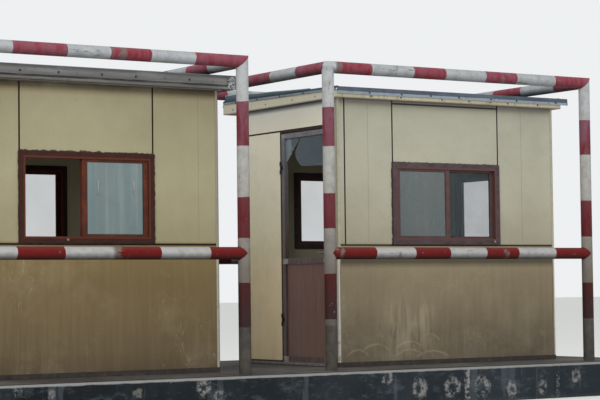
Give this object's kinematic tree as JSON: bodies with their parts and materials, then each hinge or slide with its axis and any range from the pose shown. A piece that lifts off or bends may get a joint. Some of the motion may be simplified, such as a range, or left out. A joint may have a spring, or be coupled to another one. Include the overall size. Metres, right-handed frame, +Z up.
{
  "type": "toll plaza",
  "caption": "Raised toll island with two panel-clad booths in line, each inside a striped pipe guard frame, with sliding windows and a half-glazed end door.",
  "frame": {"origin": "centre of the island's underside, where it stands on the road", "axes": "+X along the island from the left booth to the right booth, +Y from the near lane to the far lane, +Z up"},
  "size_m": [8.204, 3.28, 3.073],
  "materials": {
    "kerb_paint": "dark blue-black paint on concrete, chipped and worn pale along the top edge",
    "island_concrete": "bare weathered concrete with dust",
    "guard_paint": "red and white striped gloss paint on steel pipe, worn and rusty low down",
    "wall_panel": "beige coated sandwich panel, dirty and streaked",
    "corner_trim": "weathered aluminium corner section",
    "base_steel": "dark maroon primed steel beam with rust",
    "floor_board": "dusty floor board",
    "window_brown": "dark brown coated window section",
    "sash_brown": "red-brown coated sash section",
    "clear_glass": "dusty greenish window glass",
    "door_brown": "dark brown coated aluminium door section",
    "kick_wood": "red-brown wood-grain board",
    "hinge_black": "black painted hinge",
    "handle_steel": "plain worn steel",
    "fascia_beige": "beige coated fascia board",
    "flashing_grey": "weathered galvanised flashing",
    "roof_blue": "blue-grey coated ribbed roof sheet"
  },
  "bodies": {
    "island": {"kerb_front": "kerb_paint", "kerb_back": "kerb_paint", "kerb_ends": "kerb_paint", "kerb_corners": "kerb_paint", "island_infill": "island_concrete", "left_base_frame": "base_steel", "left_floor": "floor_board", "left_corner_posts": "corner_trim", "left_front_panels": "wall_panel", "left_back_panels": "wall_panel", "left_door_wall_panels": "wall_panel", "left_end_wall_panels": "wall_panel", "left_window_frames": "window_brown", "left_window_sashes": "sash_brown", "left_window_glass": "clear_glass", "left_door_frame": "door_brown", "left_hinge_pins": "hinge_black", "left_ceiling": "wall_panel", "left_fascia": "fascia_beige", "left_roof_trim": "flashing_grey", "left_roof_sheet": "roof_blue", "left_guard_posts": "guard_paint", "left_guard_front_top_rail": "guard_paint", "left_guard_back_top_rail": "guard_paint", "left_guard_side_rails": "guard_paint", "left_guard_mid_rails": "guard_paint", "right_base_frame": "base_steel", "right_floor": "floor_board", "right_corner_posts": "corner_trim", "right_front_panels": "wall_panel", "right_back_panels": "wall_panel", "right_door_wall_panels": "wall_panel", "right_end_wall_panels": "wall_panel", "right_window_frames": "window_brown", "right_window_sashes": "sash_brown", "right_window_glass": "clear_glass", "right_door_frame": "door_brown", "right_hinge_pins": "hinge_black", "right_ceiling": "wall_panel", "right_fascia": "fascia_beige", "right_roof_trim": "roof_blue", "right_roof_sheet": "roof_blue", "right_guard_posts": "guard_paint", "right_guard_front_top_rail": "guard_paint", "right_guard_back_top_rail": "guard_paint", "right_guard_side_rails": "guard_paint", "right_guard_mid_rails": "guard_paint"},
    "left_door": {"left_door_leaf": "door_brown", "left_door_kick_panel": "kick_wood", "left_door_broken_glass": "clear_glass", "left_hinge_leaves": "hinge_black", "left_door_handle": "handle_steel"},
    "right_door": {"right_door_leaf": "door_brown", "right_door_kick_panel": "kick_wood", "right_door_broken_glass": "clear_glass", "right_hinge_leaves": "hinge_black", "right_door_handle": "handle_steel"}
  },
  "joints": [
    {"name": "left_door_hinge", "type": "hinge", "parent": "island", "child": "left_door", "pos_m": [-3.008, 0.178, 0.337], "axis": [0, 0, -1], "range_deg": [0, 100]},
    {"name": "right_door_hinge", "type": "hinge", "parent": "island", "child": "right_door", "pos_m": [0.862, 0.178, 0.337], "axis": [0, 0, -1], "range_deg": [0, 100]}
  ]
}
